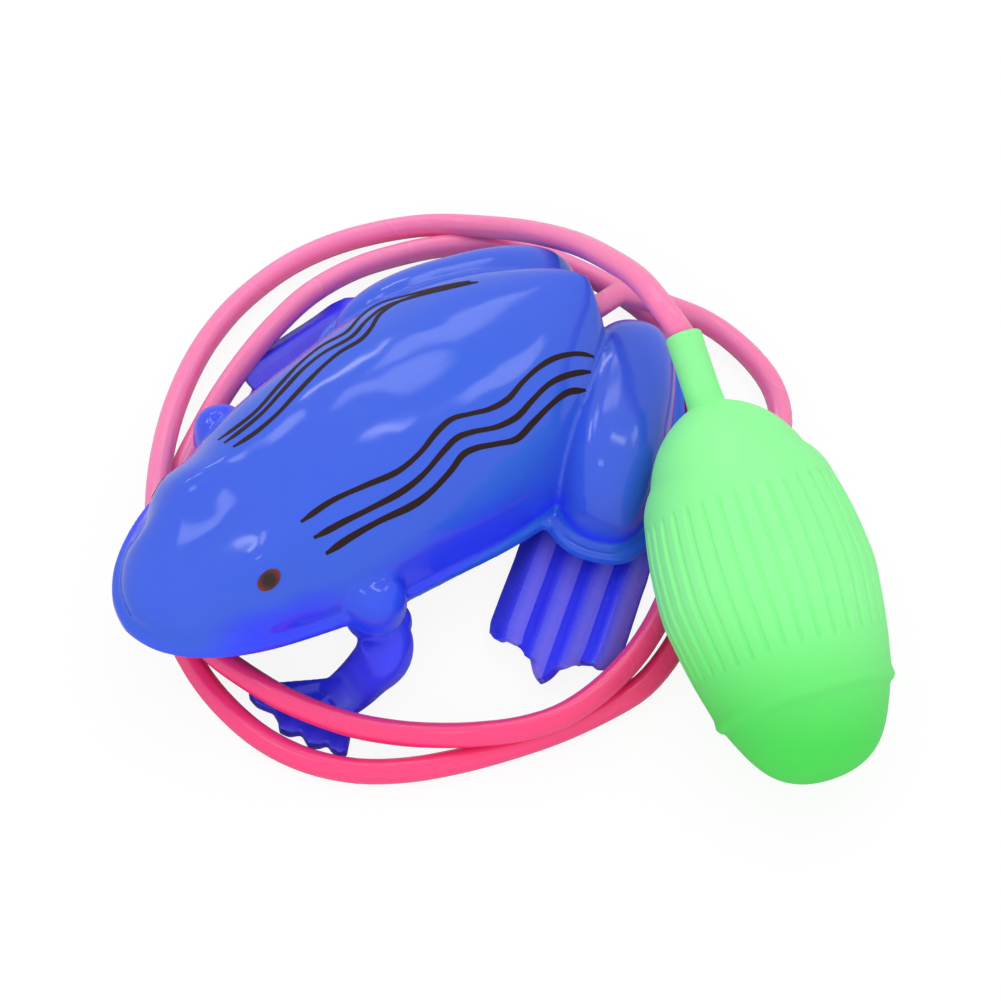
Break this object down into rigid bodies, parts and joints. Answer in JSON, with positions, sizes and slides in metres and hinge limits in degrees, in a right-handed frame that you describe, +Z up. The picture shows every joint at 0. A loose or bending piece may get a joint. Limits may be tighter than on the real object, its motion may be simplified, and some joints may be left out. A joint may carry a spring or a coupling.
{
  "type": "jumping frog toy",
  "caption": "Blue plastic frog that hops when a green squeeze bulb blows air down a pink hose and its hind legs kick; the front legs swing on pegs.",
  "frame": {"origin": "on the ground under the middle of the box round every piece but the hose", "axes": "+Z up from the ground, the frog's nose towards -Y, its left side and the bulb towards +X"},
  "size_m": [0.1551, 0.1326, 0.0443],
  "materials": {
    "blue_shell": "glossy moulded polystyrene",
    "blue_belly": "satin moulded plastic",
    "blue_leg": "glossy moulded plastic",
    "steel": "plain zinc-plated",
    "bladder_film": "thin soft vinyl",
    "white_nylon": "natural nylon",
    "grommet_rubber": "matt black rubber",
    "green_bulb": "soft satin vinyl",
    "pink_hose": "glossy clear-tinted vinyl"
  },
  "bodies": {
    "frog": {"air_bladder": "bladder_film", "air_hose": "pink_hose", "belly_plate": "blue_belly", "belly_screw_front_left": "steel", "belly_screw_front_right": "steel", "belly_screw_rear_left": "steel", "belly_screw_rear_right": "steel", "bladder_collar": "white_nylon", "body_shell": "blue_shell", "hinge_pin": "steel", "inlet_elbow": "white_nylon", "inlet_grommet": "grommet_rubber", "squeeze_bulb": "green_bulb"},
    "kicker": {"kick_plate": "blue_belly", "hind_leg_left": "blue_leg", "hind_leg_right": "blue_leg", "leg_rivet_left": "white_nylon", "leg_rivet_right": "white_nylon"},
    "arm_left": {"front_leg_left": "blue_leg"},
    "arm_right": {"front_leg_right": "blue_leg"}
  },
  "joints": [
    {"name": "hind_leg_kick", "type": "hinge", "parent": "frog", "child": "kicker", "pos_m": [-0.02985, 0.03845, 0.0053], "axis": [1, 0, 0], "range_deg": [0, 70], "stiffness_Nm_per_rad": 0.02, "deforming": ["air_bladder", "squeeze_bulb"]},
    {"name": "left_arm_swing", "type": "hinge", "parent": "frog", "child": "arm_left", "pos_m": [-0.00705, -0.01995, 0.0128], "axis": [0, 0, 1], "range_deg": [-20, 12]},
    {"name": "right_arm_swing", "type": "hinge", "parent": "frog", "child": "arm_right", "pos_m": [-0.05265, -0.01995, 0.0128], "axis": [0, 0, 1], "range_deg": [-20, 5]}
  ]
}
